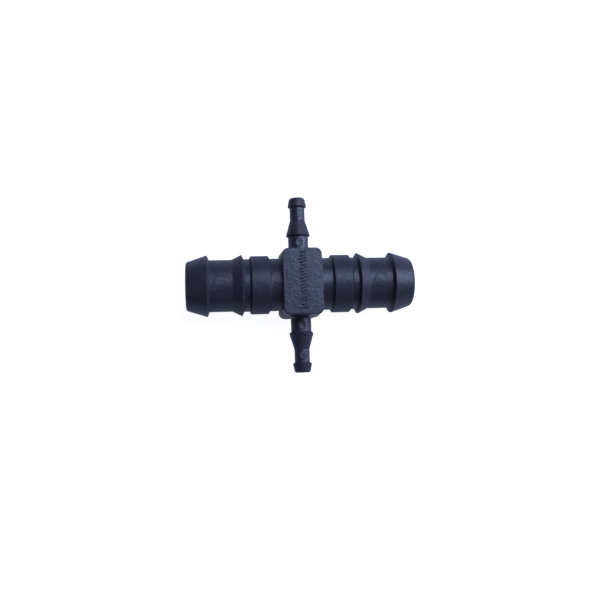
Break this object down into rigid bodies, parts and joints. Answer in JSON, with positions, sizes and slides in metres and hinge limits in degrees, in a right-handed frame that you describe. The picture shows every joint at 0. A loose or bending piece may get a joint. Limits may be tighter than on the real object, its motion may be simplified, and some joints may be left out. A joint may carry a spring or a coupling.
{
  "type": "barbed reducing cross connector",
  "caption": "Barbed cross connector for drip irrigation: a straight run with large barbed ends, crossed at a block hub by small barbed branches.",
  "frame": {"origin": "where the run's bore axis and the branches' bore axis cross, at the middle of the hub block and of the whole fitting", "axes": "+X along the run towards the right-hand run spigot, +Y along the branches towards the upper one, +Z out of the hub block's front face"},
  "size_m": [0.0566, 0.0442, 0.0154],
  "materials": {
    "body_plastic": "fine moulded matte, dark blue-black"
  },
  "bodies": {
    "root": {"hub_block": "body_plastic", "right_run_spigot": "body_plastic", "left_run_spigot": "body_plastic", "upper_branch_spigot": "body_plastic", "lower_branch_spigot": "body_plastic"}
  },
  "joints": []
}
